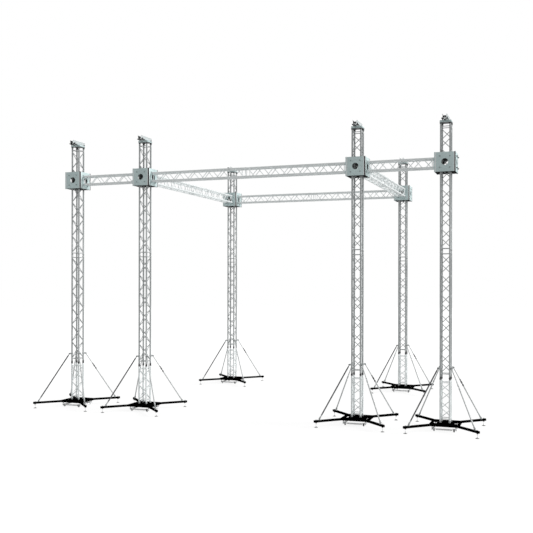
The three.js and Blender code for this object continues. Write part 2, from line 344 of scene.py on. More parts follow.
def marks_group():
    """Marks that handling leaves on metal: fine grain, broad patches and bright scuffs."""
    group = node_group("surface_marks", {
        "Place": "NodeSocketVector", "Stretch": "NodeSocketVector",
        "Grain Scale": "NodeSocketFloat", "Patch Scale": "NodeSocketFloat",
        "Scuff Start": "NodeSocketFloat",
    }, ("Grain", "Patches", "Scuffs"))
    inlet = add_node(group, "NodeGroupInput").outputs
    stretched = add_node(
        group, "ShaderNodeVectorMath", {0: inlet["Place"], 1: inlet["Stretch"]},
        operation="MULTIPLY",
    )
    grain = add_node(group, "ShaderNodeTexNoise", {
        "Vector": stretched.outputs[0], "Scale": inlet["Grain Scale"], "Detail": 2,
    })
    patches = add_node(group, "ShaderNodeTexNoise", {
        "Vector": inlet["Place"], "Scale": inlet["Patch Scale"],
        "Detail": 5, "Roughness": 0.6,
    })
    scuff_scale = combined(group, "MULTIPLY", inlet["Patch Scale"], 2.6)
    scuffs = add_node(group, "ShaderNodeTexNoise", {
        "Vector": inlet["Place"], "Scale": scuff_scale,
        "Detail": 6, "Roughness": 0.72, "Distortion": 0.6,
    })
    add_node(group, "NodeGroupOutput", {
        "Grain": grain.outputs["Fac"], "Patches": patches.outputs["Fac"],
        "Scuffs": spread(group, scuffs.outputs["Fac"], inlet["Scuff Start"], 0.8),
    })
    return group


def rub_group():
    """Wear where a corner is handled: full on sharp outer edges, broken up by a noise."""
    group = node_group(
        "edge_rub", {"Place": "NodeSocketVector", "Width": "NodeSocketFloat"}, ("Rub",)
    )
    inlet = add_node(group, "NodeGroupInput").outputs
    rounded = add_node(group, "ShaderNodeBevel", {"Radius": inlet["Width"]}, samples=4)
    surface = add_node(group, "ShaderNodeNewGeometry")
    bend = add_node(
        group, "ShaderNodeVectorMath",
        {0: rounded.outputs["Normal"], 1: surface.outputs["True Normal"]},
        operation="DOT_PRODUCT",
    )
    edge = spread(group, bend.outputs["Value"], 0.985, 0.85)
    chips = add_node(group, "ShaderNodeTexNoise", {
        "Vector": inlet["Place"], "Scale": 55, "Detail": 4,
    })
    broken = spread(group, chips.outputs["Fac"], 0.42, 0.62)
    add_node(group, "NodeGroupOutput", {"Rub": combined(group, "MULTIPLY", edge, broken)})
    return group


surface_marks = marks_group()
edge_rub = rub_group()


def metal_finish(
    name, low, high, bare, metallic, smooth, rough,
    grain=900, stretch=(1, 1, 1), patch=3.0, scuff_start=0.62, bump=0.0002, rub=0.0, shine=0.5,
):
    """A finish between two tones, with scuffs and rubbed edges that show a barer metal."""
    finish = bpy.data.materials.new(name)
    finish.use_nodes = True
    tree = finish.node_tree
    place = add_node(tree, "ShaderNodeTexCoord").outputs["Object"]
    marks = add_node(tree, "ShaderNodeGroup", {
        "Place": place, "Stretch": stretch, "Grain Scale": grain, "Patch Scale": patch,
        "Scuff Start": scuff_start,
    }, node_tree=surface_marks).outputs
    tone = spread(tree, marks["Patches"], 0.3, 0.7)
    body = add_node(tree, "ShaderNodeMix", {
        "Factor": tone, "A": (*low, 1), "B": (*high, 1),
    }, data_type="RGBA")
    wear = marks["Scuffs"]
    if rub:
        edges = add_node(
            tree, "ShaderNodeGroup", {"Place": place, "Width": rub}, node_tree=edge_rub
        )
        wear = combined(tree, "MAXIMUM", wear, edges.outputs["Rub"])
    worn = add_node(tree, "ShaderNodeMix", {
        "Factor": wear, "A": body.outputs["Result"], "B": (*bare, 1),
    }, data_type="RGBA")
    sheen = spread(tree, marks["Grain"], 0.3, 0.7, smooth, rough)
    relief = add_node(tree, "ShaderNodeBump", {
        "Height": marks["Grain"], "Strength": 0.6, "Distance": bump,
    })
    wire(tree, tree.nodes["Principled BSDF"], {
        "Base Color": worn.outputs["Result"], "Roughness": sheen,
        "Normal": relief.outputs["Normal"], "Metallic": metallic, "Specular IOR Level": shine,
    })
    return finish


black_coat = metal_finish(
    "black_coat", (0.0008,) * 3, (0.0016,) * 3, (0.010, 0.010, 0.0105), 0.0, 0.6, 0.8,
    grain=420, patch=2.4, scuff_start=0.72, bump=0.0003, rub=0.002, shine=0.0,
)

base_parts = []
arm_length = arm_reach - arm_root
inner_corner = (ring_spacing - arm_tube) / 2 * math.sqrt(2)
for quarter in quarters:
    side = quarter * quarter_turn
    middle = on_diagonal(quarter, arm_root + arm_length / 2, arm_height)
    arm = box_tube((arm_length, arm_tube, arm_tube), middle, (0, 0, eighth_turn + side))
    boss = turned(
        [(0.019, -0.012), (0.024, -0.010), (0.024, 0.060), (0.021, 0.063), (0.017, 0.063)], 20
    )
    move_to(boss, on_diagonal(quarter, spindle_reach, arm_height - arm_tube / 2))
    web = gusset(gusset_leg, gusset_leg, gusset_sheet)
    move_to(web, on_diagonal(quarter, inner_corner, gusset_height), (0, 0, math.pi + side))
    across = ring_spacing + (ring_tube if quarter % 2 else -ring_tube)
    ring_side = box_tube(
        (across, ring_tube, ring_tube), on_side(quarter, ring_spacing / 2, arm_height),
        (0, 0, side + quarter_turn),
    )
    base_parts += [arm, boss, web, ring_side]
for height in (seat_high, seat_low):
    base_parts.append(bar((seat_side, seat_side, seat_sheet), (0, 0, height)))
for side in (-1, 1):
    base_parts.append(bar((rib_length, rib_sheet, rib_rise), (0, side * rib_reach, arm_height)))
    base_parts.append(bar((rib_sheet, rib_length, rib_rise), (side * rib_reach, 0, arm_height)))
stand_at_towers(base_parts, "outrigger", black_coat, "base_frame")

# Spindle feet: a zinc-plated threaded rod through each arm, with a hexagon to turn it, a
# lock nut under the arm and a round pressed pad that swivels on its lower end.
bright_zinc = metal_finish(
    "bright_zinc", (0.88, 0.89, 0.89), (0.94,) * 3, (0.96, 0.96, 0.95), 0.1, 0.22, 0.36,
    grain=600, patch=9, scuff_start=0.66,
)
pad_steel = metal_finish(
    "pad_steel", (0.30,) * 3, (0.38,) * 3, (0.52, 0.52, 0.51), 0.2, 0.45, 0.65,
    grain=420, patch=14, scuff_start=0.58, bump=0.0004, rub=0.002, shine=0.2,
)
thread_pitch = 0.006
thread_low = 0.020
thread_high = 0.116
thread_root = 0.0068
thread_crest = 0.0082
lock_nut_height = 0.104
hexagon_height = 0.196
thread = [(0.006, thread_low)]
for step in range(int((thread_high - thread_low) / thread_pitch)):
    root_height = thread_low + (step + 0.25) * thread_pitch
    thread += [(thread_root, root_height), (thread_crest, root_height + thread_pitch / 2)]
thread.append((thread_root, thread_high))
spindle = turned(thread, 14)
pad = turned([
    (0.046, 0.0), (0.050, 0.0015), (0.050, 0.006), (0.047, 0.008), (0.024, 0.0085),
    (0.020, 0.013), (0.020, 0.022), (0.014, 0.025),
], 32)
lock_nut = turned([(0.020, 0.0), (0.0225, 0.002), (0.0225, 0.013), (0.020, 0.015)], 6)
hexagon = turned(
    [(0.0125, 0.0), (0.0125, 0.006), (0.016, 0.007), (0.016, 0.020), (0.013, 0.022)], 6
)
foot_parts = []
pads = []
for quarter in quarters:
    for model, height, pile in (
        (spindle, 0, foot_parts), (lock_nut, lock_nut_height, foot_parts),
        (hexagon, hexagon_height, foot_parts), (pad, 0, pads),
    ):
        pile.append(copy_of(model, on_diagonal(quarter, spindle_reach, height)))
clear_away(spindle, pad, lock_nut, hexagon)
stand_at_towers(foot_parts, "spindle_feet", bright_zinc)
stand_at_towers(pads, "foot_pads", pad_steel)

# Undercarriage: a square of 36 mm aluminium box tube on posts below the base, cut short
# at each castor, where two cheek plates under a cap plate carry the axle.
# Near-white aluminium whose tone is raised as painted light: against the shade under the base on
# the undercarriage, and as a highlight on the plate edges.
pale_tube_painted_light = metal_finish(
    "pale_tube_painted_light", (0.90, 0.91, 0.91), (0.95, 0.96, 0.96), (0.97,) * 3, 0.0, 0.32, 0.5,
    grain=500, patch=5, rub=0.002,
)
dolly_reach = 0.302
dolly_tube = 0.036
dolly_height = 0.054
dolly_post = (0.034, 0.034, 0.062)
dolly_post_height = 0.102
castor_place = 0.255
castor_gap = 0.045
cheek_sheet = (0.004, 0.060, 0.054)
cheek_shift = 0.0195
cheek_height = 0.049
cap_sheet = (0.100, 0.044, 0.005)
cap_height = 0.079
rail = (dolly_tube, 2 * dolly_reach - dolly_tube, dolly_tube)
short_rail = (2 * (castor_place - castor_gap), dolly_tube, dolly_tube)
stub_length = dolly_reach + dolly_tube / 2 - castor_place - castor_gap
stub = (stub_length, dolly_tube - 0.001, dolly_tube - 0.001)
stub_place = castor_place + castor_gap + stub_length / 2
dolly_parts = []
for side in (-1, 1):
    y = side * dolly_reach
    dolly_parts.append(box_tube(rail, (side * dolly_reach, 0, dolly_height)))
    dolly_parts.append(box_tube(short_rail, (0, y, dolly_height)))
    for end in (-1, 1):
        dolly_parts.append(box_tube(stub, (end * stub_place, y, dolly_height), depth=0.005))
        post_place = (end * dolly_reach, y, dolly_post_height)
        dolly_parts.append(box_tube(dolly_post, post_place, depth=0.004))
        for cheek in (-1, 1):
            cheek_place = (end * castor_place + cheek * cheek_shift, y, cheek_height)
            dolly_parts.append(bar(cheek_sheet, cheek_place, corner=0.001))
        dolly_parts.append(bar(cap_sheet, (end * castor_place, y, cap_height), corner=0.001))
stand_at_towers(dolly_parts, "undercarriage", pale_tube_painted_light)

# Castor wheels: a rubber tyre moulded on a hub, on an axle between the cheeks, grey on
# three castors and black on the front right one.
tyre_rubber = metal_finish(
    "tyre_rubber", (0.020, 0.020, 0.021), (0.032, 0.032, 0.033), (0.10,) * 3, 0.0, 0.6, 0.85,
    grain=700, patch=14, scuff_start=0.6, bump=0.0004,
)
grey_tyre = metal_finish(
    "grey_tyre", (0.46, 0.47, 0.47), (0.56, 0.57, 0.57), (0.70,) * 3, 0.0, 0.6, 0.85,
    grain=700, patch=14, scuff_start=0.6, bump=0.0004,
)
wheel_height = 0.038
half_wheel = [
    (0.006, -0.0185), (0.011, -0.0185), (0.011, -0.015), (0.020, -0.013), (0.026, -0.010),
    (0.031, -0.014), (0.0355, -0.012), (0.038, -0.006),
]
wheel = turned(half_wheel + [(r, -h) for r, h in reversed(half_wheel)], 28)
wheels = []
for end in (-1, 1):
    for side in (-1, 1):
        place = (end * castor_place, side * dolly_reach, wheel_height)
        wheels.append(copy_of(wheel, place, (0, quarter_turn, 0)))
clear_away(wheel)
front_wheel = wheels.pop(2)
stand_at_towers(wheels, "castor_wheels", grey_tyre)
stand_at_towers([front_wheel], "front_castor_wheel", tyre_rubber)

# Truss lengths: four 50 mm drawn tubes with 20 mm tubes welded between them in a zigzag
# on each face and square across at both ends. Each chord ends in a machined socket with
# its weld bead, and a tapered pin from the inside locks it to the next length.
chord_spacing = 0.240
chord_reach = chord_spacing / 2 * math.sqrt(2)
chord_radius = 0.025
socket_radius = 0.0195
brace_rise = 0.011
pin_height = 0.030


def drawn_aluminium(name, tone, stretch):
    """Drawn tube with its grain along the tube, in a tone given as painted light and shade."""
    return metal_finish(
        name, (0.94 * tone, 0.99 * tone, 0.99 * tone), (1.08 * tone, 1.13 * tone, 1.13 * tone),
        (1.18 * tone, 1.2 * tone, 1.2 * tone), 0.15, 0.34, 0.5,
        grain=420, stretch=stretch, patch=2.2, scuff_start=0.6, bump=0.00015, shine=0.25,
    )


# One aluminium in lit and shaded copies: the mast lengths and head legs are darker as painted
# shade, the mast foot and the spans paler as painted light.
shaded_upright_aluminium = drawn_aluminium("shaded_upright_aluminium", 0.43, (1, 1, 0.03))
lit_foot_aluminium = drawn_aluminium("lit_foot_aluminium", 0.78, (1, 1, 0.03))
lit_crosswise_aluminium = drawn_aluminium("lit_crosswise_aluminium", 0.77, (0.03, 1, 1))
lit_lengthwise_aluminium = drawn_aluminium("lit_lengthwise_aluminium", 0.80, (1, 0.03, 1))


def chord_at(chord, height):
    """The middle of one of the four chords at a height."""
    return on_diagonal(chord + 2, chord_reach, height)


def pointing(along):
    """The turn that points a part's own Z axis along a line."""
    return along.to_track_quat("Z", "Y").to_matrix().to_4x4()


def lattice_tube(start, end, diameter=0.019):
    """A tube between two chords, with a fillet of weld where it meets each of them."""
    along = end - start
    length = along.length
    level = Vector((along.x, along.y, 0)).length
    skin = chord_radius * length / level
    radius = diameter / 2
    near = [
        (radius * 0.9, skin * 0.6), (radius, skin * 0.65), (radius, skin - 0.005),
        (radius + 0.0035, skin - 0.001), (radius + 0.0002, skin + 0.008),
    ]
    tube = turned(near + [(r, length - h) for r, h in reversed(near)], 10)
    tube.matrix_basis = Matrix.Translation(start) @ pointing(along)
    return settle(tube)


def twin_between(model, start, along):
    """A copy of a model that stands on a point and points along a line."""
    twin = twin_of(model)
    twin.matrix_basis = Matrix.Translation(start) @ pointing(along)
    return settle(twin)


def truss_length(length, margins, panels, pinned=(True, True), top_bar=0, stands_at=0):
    """The parts of one length of box truss: margins are the plain ends below and above."""
    low_margin, high_margin = margins
    high_bar = top_bar or high_margin - brace_rise
    socket = [
        (socket_radius, 0.030), (socket_radius, 0.0), (0.0242, 0.0), (chord_radius, 0.0012),
        (chord_radius, 0.0500), (0.0262, 0.0525), (chord_radius, 0.0550),
    ]
    chord = turned(socket + [(r, length - h) for r, h in reversed(socket)], 18)
    pin = turned([
        (0.0045, -0.0252), (0.006, -0.0245), (0.0065, 0.029), (0.010, 0.0295),
        (0.010, 0.035), (0.008, 0.037),
    ], 12)
    parts = []
    for number in quarters:
        parts.append(copy_of(chord, chord_at(number, 0)))
        for wanted, height in zip(pinned, (pin_height, length - pin_height)):
            if wanted:
                parts.append(twin_between(pin, chord_at(number, height), -chord_at(number, 0)))
        for height in (low_margin - brace_rise, length - high_bar):
            parts.append(lattice_tube(chord_at(number, height), chord_at(number + 1, height)))
    pitch = (length - low_margin - high_margin) / panels
    rising = Vector((chord_spacing, 0, pitch - 2 * brace_rise))
    diagonal = lattice_tube(Vector(), rising)
    diagonal.matrix_basis = pointing(rising).inverted()
    settle(diagonal)
    for number in quarters:
        for level in range(panels):
            foot = low_margin + level * pitch + brace_rise
            head = low_margin + (level + 1) * pitch - brace_rise
            if level % 2 != number % 2:
                foot, head = head, foot
            start = chord_at(number, foot)
            parts.append(twin_between(diagonal, start, chord_at(number + 1, head) - start))
    clear_away(chord, pin, diagonal)
    return [move_to(part, (0, 0, stands_at)) for part in parts]


# Mast foot: a short length of the same truss, welded on a square black plate that eight
# hexagon bolts hold down on the seat of the base.
foot_plate_top = 0.2023
foot_plate = (0.330, 0.330, 0.010)
foot_margin = 0.110
hinge_margin = 0.084
knuckle_low = 1.310
corner_bolt_reach = 0.115
side_bolt_reach = 0.145
mast_foot_parts = truss_length(
    knuckle_low - foot_plate_top, (foot_margin, hinge_margin), 4, (False, False),
    stands_at=foot_plate_top,
)
stand_at_towers(mast_foot_parts, "mast_foot", lit_foot_aluminium, "mast_base")
foot_plate_parts = [bar(foot_plate, (0, 0, foot_plate_top - foot_plate[2] / 2))]
flange_bolt = turned([
    (0.014, 0.0), (0.015, 0.001), (0.015, 0.0025), (0.0095, 0.003), (0.0105, 0.004),
    (0.0105, 0.0115), (0.009, 0.013),
], 6)
for quarter in quarters:
    for spot in (on_diagonal(quarter, corner_bolt_reach), on_side(quarter, side_bolt_reach)):
        spot.z = foot_plate_top
        foot_plate_parts.append(copy_of(flange_bolt, spot))
clear_away(flange_bolt)
stand_at_towers(foot_plate_parts, "mast_foot_plate", black_coat)

# Mast lengths: two lengths of truss welded from drawn aluminium tube. The lower one
# stands on the hinge, and the upper one is plugged onto it and pinned.
mast_joint = 4.660
mast_top = 7.940
knuckle_high = 1.390
mast_seam = 0.0003
joint_margin = 0.080
mast_panels = 12
lower_parts = truss_length(
    mast_joint - knuckle_high - mast_seam, (hinge_margin, joint_margin), mast_panels,
    (False, True), stands_at=knuckle_high,
)
stand_at_towers(
    lower_parts, "mast_lower_length", shaded_upright_aluminium, "mast_lower"
)
upper_parts = truss_length(
    mast_top - mast_joint - mast_seam, (joint_margin, joint_margin), mast_panels,
    top_bar=0.036, stands_at=mast_joint,
)
stand_at_towers(
    upper_parts, "mast_upper_length", shaded_upright_aluminium, "mast_upper"
)

# Hinge: on each chord a dark steel fork and tongue with a cross pin, so that the mast can
# be tipped up on two of them and locked with the other two.
dark_steel = metal_finish(
    "dark_steel", (0.045, 0.047, 0.05), (0.075, 0.078, 0.08), (0.30,) * 3, 0.5, 0.34, 0.52,
    grain=500, patch=12, scuff_start=0.64, rub=0.002,
)
hinge_height = (knuckle_low + knuckle_high) / 2
hinge_flange = (0.047, 0.047, 0.010)
flange_shift = 0.0345
fork_cheek = (0.011, 0.036, 0.058)
fork_shift = 0.015
tongue = (0.016, 0.034, 0.058)
half_lap = 0.006
hinge_pin = turned([
    (0.010, -0.030), (0.012, -0.029), (0.012, -0.022), (0.0085, -0.0215), (0.0085, 0.026),
    (0.006, 0.030),
], 18)
hinge_parts = []
for number in quarters:
    spot = chord_at(number, hinge_height)
    for side in (-1, 1):
        flange_place = spot + Vector((0, 0, side * flange_shift))
        hinge_parts.append(bar(hinge_flange, flange_place, corner=0.002))
        fork_place = spot + Vector((side * fork_shift, 0, -half_lap))
        hinge_parts.append(bar(fork_cheek, fork_place, corner=0.003))
    hinge_parts.append(bar(tongue, spot + Vector((0, 0, half_lap)), corner=0.003))
    hinge_parts.append(copy_of(hinge_pin, spot, (0, quarter_turn, 0)))
clear_away(hinge_pin)
stand_at_towers(hinge_parts, "mast_hinges", dark_steel)

# Braces: an aluminium tube from each arm up to a chord, with a steel fork pinned to the
# arm, a turnbuckle two thirds of the way up, and a thinner tube to its chord clamp. The
# front left one is a single tube coated dark grey as painted shade, and the turnbuckles of
# the rear left and front right ones are in the brace aluminium as painted light.
brace_aluminium = metal_finish(
    "brace_aluminium", (0.56, 0.58, 0.58), (0.66, 0.68, 0.68), (0.80,) * 3, 0.1, 0.3, 0.48,
    grain=500, patch=4, bump=0.00015, shine=0.3,
)
# A dark grey coat: real on the turnbuckles and bolts, and painted shade on the front left brace,
# the head underside and the sheets inside the blocks.
grey_coat_and_painted_shade = metal_finish(
    "grey_coat_and_painted_shade", (0.090, 0.094, 0.096), (0.130, 0.134, 0.136), (0.32,) * 3, 0.1, 0.45, 0.6,
    grain=500, patch=4, scuff_start=0.64, shine=0.15,
)
clamp_zinc = metal_finish(
    "clamp_zinc", (0.34, 0.36, 0.36), (0.44, 0.46, 0.46), (0.66, 0.67, 0.67), 0.3, 0.3, 0.45,
    grain=600, patch=12, rub=0.0015,
)
brace_foot_reach = 1.160
brace_foot_height = arm_height + 0.058
brace_top_reach = 0.245
brace_top = 1.615
fork_plate = (0.006, 0.030, 0.080)
fork_plate_shift = 0.013
fork_plate_rise = 0.026
lug_size = (0.040, 0.018, 0.056)
lug_rise = 0.026
lug_foot = (0.090, 0.050, 0.006)
jaw_size = (0.040, 0.036, 0.044)
jaw_reach = 0.214
ear_size = (0.052, 0.006, 0.040)
ear_reach = 0.244
ear_shift = 0.0135
ear_bolt_reach = 0.252
long_tube = turned([
    (0.014, 0.105), (0.018, 0.107), (0.018, 1.600), (0.014, 1.602), (0.011, 1.603),
    (0.011, 1.640),
], 20)
lower_tube = turned([(0.014, 0.105), (0.018, 0.107), (0.018, 1.086), (0.014, 1.088)], 20)
upper_tube = turned([(0.010, 1.262), (0.0135, 1.264), (0.0135, 1.640), (0.010, 1.643)], 18)
buckle = turned([
    (0.012, 1.070), (0.0215, 1.073), (0.0215, 1.105), (0.019, 1.108), (0.0125, 1.110),
    (0.0125, 1.150), (0.0205, 1.152), (0.0205, 1.215), (0.0125, 1.217), (0.0125, 1.250),
    (0.0175, 1.252), (0.0175, 1.282), (0.0135, 1.285),
], 20)
fork_shank = turned([
    (0.009, 0.050), (0.012, 0.052), (0.012, 0.090), (0.0195, 0.092), (0.0195, 0.118),
    (0.018, 0.120),
], 18)
top_eye = turned(
    [(0.009, 1.636), (0.0155, 1.638), (0.0155, 1.668), (0.008, 1.672), (0.008, 1.700)], 18
)
clamp_ring = turned([
    (0.0254, -0.020), (0.029, -0.020), (0.030, -0.018), (0.030, 0.018), (0.029, 0.020),
    (0.0254, 0.020),
], 24, bored=True)
cross_bolt = turned([
    (0.009, -0.031), (0.010, -0.030), (0.010, -0.024), (0.0065, -0.0235), (0.0065, 0.0235),
    (0.010, 0.024), (0.010, 0.031), (0.009, 0.032),
], 6)
brace_tubes = []
painted_shade_tubes = []
dark_fittings = []
fittings = []
for quarter in quarters:
    lower = on_diagonal(quarter, brace_foot_reach, brace_foot_height)
    along = on_diagonal(quarter, brace_top_reach, brace_top) - lower
    turn = (0, 0, eighth_turn + quarter * quarter_turn)
    # The front left brace is one tube in painted shade; the rear left and front right turnbuckles
    # go with the pale tubes as painted light.
    if quarter == 2:
        tubes = ((long_tube, painted_shade_tubes),)
    else:
        buckles = dark_fittings if quarter == 0 else brace_tubes
        tubes = ((lower_tube, brace_tubes), (upper_tube, brace_tubes), (buckle, buckles))
    for model, pile in tubes + ((fork_shank, fittings), (top_eye, fittings)):
        pile.append(twin_between(model, lower, along))
    for side in (-1, 1):
        sideways = on_diagonal(quarter + 1, side)
        plate_place = lower + sideways * fork_plate_shift + along.normalized() * fork_plate_rise
        stance = Matrix.Translation(plate_place) @ pointing(along)
        faces_sideways = abs(stance.col[0].xyz.dot(sideways)) > 0.7
        plate = bar(fork_plate, corner=0.002)
        plate.matrix_basis = stance
        if not faces_sideways:
            plate.matrix_basis = stance @ Matrix.Rotation(quarter_turn, 4, "Z")
        fittings.append(settle(plate))
        ear_place = on_diagonal(quarter, ear_reach, brace_top) + sideways * ear_shift
        fittings.append(bar(ear_size, ear_place, turn, corner=0.002))
    lug_place = on_diagonal(quarter, brace_foot_reach, arm_top + lug_rise)
    fittings.append(bar(lug_size, lug_place, turn, corner=0.003))
    lug_foot_place = on_diagonal(quarter, brace_foot_reach, arm_top + lug_foot[2] / 2)
    fittings.append(bar(lug_foot, lug_foot_place, turn))
    fittings.append(copy_of(clamp_ring, on_diagonal(quarter, chord_reach, brace_top)))
    jaw_place = on_diagonal(quarter, jaw_reach, brace_top)
    fittings.append(bar(jaw_size, jaw_place, turn, corner=0.003))
    for bolt_place in (lower, on_diagonal(quarter, ear_bolt_reach, brace_top)):
        dark_fittings.append(copy_of(cross_bolt, bolt_place, (quarter_turn, 0, turn[2])))
clear_away(
    long_tube, lower_tube, upper_tube, buckle, fork_shank, top_eye, clamp_ring, cross_bolt
)
stand_at_towers(brace_tubes, "brace_tubes", brace_aluminium)
stand_at_towers(painted_shade_tubes, "shaded_front_brace_tube", grey_coat_and_painted_shade)
stand_at_towers(dark_fittings, "turnbuckles", grey_coat_and_painted_shade)
stand_at_towers(fittings, "brace_fittings", clamp_zinc)

# Head: four short legs of tube stand in the chords of the mast and carry a square frame
# of box tube between two plates, with a lip along its front edge; the lower plate and a
# collar round each leg are coated dark grey as painted shade under the frame.
plate_aluminium = metal_finish(
    "plate_aluminium", (0.51, 0.62, 0.62), (0.58, 0.70, 0.70), (0.70, 0.78, 0.78), 0.15, 0.4, 0.6,
    grain=260, stretch=(1, 1, 0.08), patch=3.2, scuff_start=0.64, rub=0.003,
    shine=0.3,
)
frame_side = 0.296
frame_wall = 0.030
frame_sheet = 0.006
frame_low = mast_top + 0.073
frame_high = frame_low + 0.048
tube_rise = 0.036
underside_side = frame_side + 0.006
lip_size = (underside_side, 0.005, 0.018)
lip_place = (0, -frame_side / 2 - 0.0015, frame_low + 0.001)
leg_length = frame_low - mast_top - mast_seam
leg = turned([
    (socket_radius, 0.020), (socket_radius, 0.0), (0.0242, 0.0), (chord_radius, 0.0012),
    (chord_radius, leg_length), (socket_radius, leg_length),
], 18)
leg_collar = turned([
    (0.0252, -0.046), (0.0290, -0.046), (0.0320, -0.042), (0.0320, 0.0), (0.0252, 0.0),
], 20, bored=True)
legs = []
head_parts = []
underside = (underside_side, underside_side, frame_sheet)
shaded_underside_parts = [bar(underside, (0, 0, frame_low + frame_sheet / 2))]
for quarter in quarters:
    long = frame_side if quarter % 2 else frame_side - 2 * frame_wall
    middle = on_side(quarter, (frame_side - frame_wall) / 2, (frame_low + frame_high) / 2)
    turn = (0, 0, (quarter + 1) * quarter_turn)
    head_parts.append(box_tube((long, frame_wall, tube_rise), middle, turn, corner=0.004))
    legs.append(copy_of(leg, chord_at(quarter, mast_top + mast_seam)))
    shaded_underside_parts.append(copy_of(leg_collar, chord_at(quarter, frame_low)))
clear_away(leg, leg_collar)
top_plate = (frame_side - 0.004, frame_side - 0.004, frame_sheet)
head_parts.append(bar(top_plate, (0, 0, frame_high - frame_sheet / 2)))
head_parts.append(bar(lip_size, lip_place, corner=0.001))
stand_at_towers(head_parts, "head_frame", plate_aluminium, "head")
stand_at_towers(legs, "head_legs", shaded_upright_aluminium)
# The lower plate and the leg collars carry painted shade under the frame.
stand_at_towers(shaded_underside_parts, "head_shaded_underside", grey_coat_and_painted_shade)

# Chain trough: plate folded to a flared channel across the head, its floor cut away at
# both ends for the chains, with a folded rim along its two top edges and a short gusset
# under each wall where it overhangs.
trough_aluminium = metal_finish(
    "trough_aluminium", (0.58, 0.62, 0.62), (0.66, 0.70, 0.70), (0.80, 0.82, 0.82),
    0.15, 0.34, 0.5, grain=300, stretch=(1, 0.08, 1), patch=3.6, scuff_start=0.64, rub=0.002,
    shine=0.3,
)
trough_half = 0.310
trough_shift = -0.024
trough_floor = 0.089
trough_mouth = 0.120
trough_top = 8.180
trough_cut = 0.128
trough_wall = 0.006
rim_size = (0.009, 2 * trough_half, 0.010)
web_size = (0.130, 0.040, 0.006)
web_across = 0.034
web_along = 0.149


def reshape(part, kind, **settings):
    """Applies a modifier to the part at hand."""
    modifier = part.modifiers.new(kind, kind)
    for setting, value in settings.items():
        setattr(modifier, setting, value)
    bpy.ops.object.modifier_apply(modifier=modifier.name)


put_down_all()
bpy.ops.mesh.primitive_plane_add(size=1)
trough = bpy.context.object
trough.scale = (trough_floor - 2 * trough_wall, 2 * (trough_half - trough_cut), 1)
trough.location = (0, 0, frame_high + trough_wall / 2)
settle(trough)
flare = (trough_mouth - trough_floor) / 2
trough_rise = trough_top - frame_high - trough_wall
for side in (-1, 1):
    pick_edges(trough, lambda a, b: (
        min(a.x * side, b.x * side) > 0.02 and max(a.z, b.z) < frame_high + 0.01
    ))
    draw_out((side * flare, 0, trough_rise))
    close_part()
for side in (-1, 1):
    for end in (-1, 1):
        pick_edges(trough, lambda a, b: abs(a.z - b.z) > 0.09 and min(a.x * side, a.y * end) > 0)
        draw_out((0, end * trough_cut, 0))
        close_part()
open_part("FACE")
bpy.ops.mesh.normals_make_consistent(inside=False)
close_part()
reshape(trough, "SOLIDIFY", thickness=trough_wall, offset=0)
reshape(trough, "BEVEL", width=0.0015, segments=2)
trough_parts = [move_to(trough, (0, trough_shift, 0))]
for side in (-1, 1):
    rim_place = (side * (trough_mouth / 2 - 0.002), trough_shift, trough_top - 0.0045)
    trough_parts.append(box_tube(rim_size, rim_place, corner=0.002, wall=0.002))
    for end in (-1, 1):
        web = move_to(gusset(*web_size), turn=(-quarter_turn, 0, 0))
        web_x = side * web_across - end * web_size[2] / 2
        web_place = (web_x, end * web_along, frame_high + 0.001)
        trough_parts.append(move_to(web, web_place, (0, 0, quarter_turn * end)))
stand_at_towers(trough_parts, "chain_trough", trough_aluminium)

# Head fittings: at the front a black steel guard, a V of strap below the pulley with a
# bearing plate up the inside of each wall and a rail back to the frame, and a keeper bar
# in front of the pulley; and the two axles. The black rails are painted shade under the
# front overhang of the trough.
head_black_and_shade = metal_finish(
    "head_black_and_shade", (0.006, 0.007, 0.007), (0.012, 0.013, 0.013), (0.06,) * 3, 0.0, 0.5, 0.7,
    grain=420, patch=6, scuff_start=0.68, bump=0.0003, rub=0.002, shine=0.1,
)
axle_offset = 0.252
axle_height = 8.110
rail_size = (0.022, 0.185, 0.024)
rail_offset = 0.071
rail_top = frame_high + 0.024
guard_low = frame_high - 0.029
guard_end = trough_shift - trough_half + 0.010
guard_rise = rail_top - 0.010 - guard_low
arm_size = (math.hypot(rail_offset, guard_rise) + 0.012, 0.014, 0.019)
bearing_size = (0.004, 0.106, trough_rise - 0.012)
bearing_offset = (trough_floor + trough_mouth) / 4 - 0.0085
keeper_size = (0.094, 0.016, 0.030)
fitting_parts = []
# The rails carry painted shade under the front overhang of the trough.
for side in (-1, 1):
    rail_place = (side * rail_offset, guard_end + rail_size[1] / 2 - 0.007, rail_top - 0.012)
    fitting_parts.append(box_tube(rail_size, rail_place, corner=0.003, wall=0.003))
    slope = math.atan2(guard_rise, side * rail_offset)
    arm_place = (side * rail_offset / 2, guard_end, guard_low + guard_rise / 2)
    fitting_parts.append(bar(arm_size, arm_place, (0, -slope, 0), corner=0.002))
    bearing_place = (side * bearing_offset, guard_end + 0.045, (frame_high + trough_top) / 2)
    lean = side * math.atan2(flare, trough_rise)
    fitting_parts.append(bar(bearing_size, bearing_place, (0, lean, 0), corner=0.001))
keeper_place = (0, guard_end + 0.004, axle_height + 0.0155)
fitting_parts.append(bar(keeper_size, keeper_place, corner=0.003))
for end in (-1, 1):
    axle = turned([
        (0.0135, -0.068), (0.015, -0.067), (0.015, -0.057), (0.010, -0.0565),
        (0.010, 0.0565), (0.015, 0.057), (0.015, 0.067), (0.0135, 0.068),
    ], 20)
    move_to(axle, (0, end * axle_offset, axle_height), (0, quarter_turn, 0))
    fitting_parts.append(axle)
stand_at_towers(fitting_parts, "head_fittings", head_black_and_shade)

